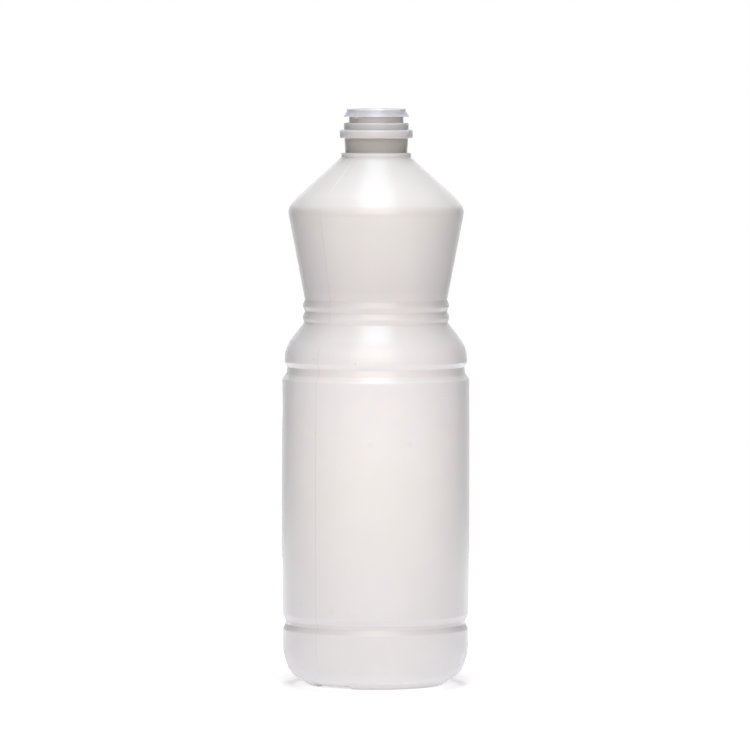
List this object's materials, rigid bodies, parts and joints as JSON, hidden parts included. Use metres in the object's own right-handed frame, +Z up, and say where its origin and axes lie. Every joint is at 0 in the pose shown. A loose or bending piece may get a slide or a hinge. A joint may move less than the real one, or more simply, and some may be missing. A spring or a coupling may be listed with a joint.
{
  "type": "plastic bottle",
  "caption": "Round blow-moulded bottle with a cone shoulder, ribbed waist, label panel between two grooves and a push-on neck, empty and without its closure.",
  "frame": {"origin": "centre of the base, in the plane of the standing ring", "axes": "+Z up along the bottle's axis and out of the mouth, -Y towards the front, with the parting line 50.7 degrees from +X"},
  "size_m": [0.0842, 0.0842, 0.2582],
  "materials": {
    "natural_polyethylene": "natural high density polyethylene, milky and slightly translucent, satin from the mould"
  },
  "bodies": {
    "root": {"bottle": "natural_polyethylene"}
  },
  "joints": []
}
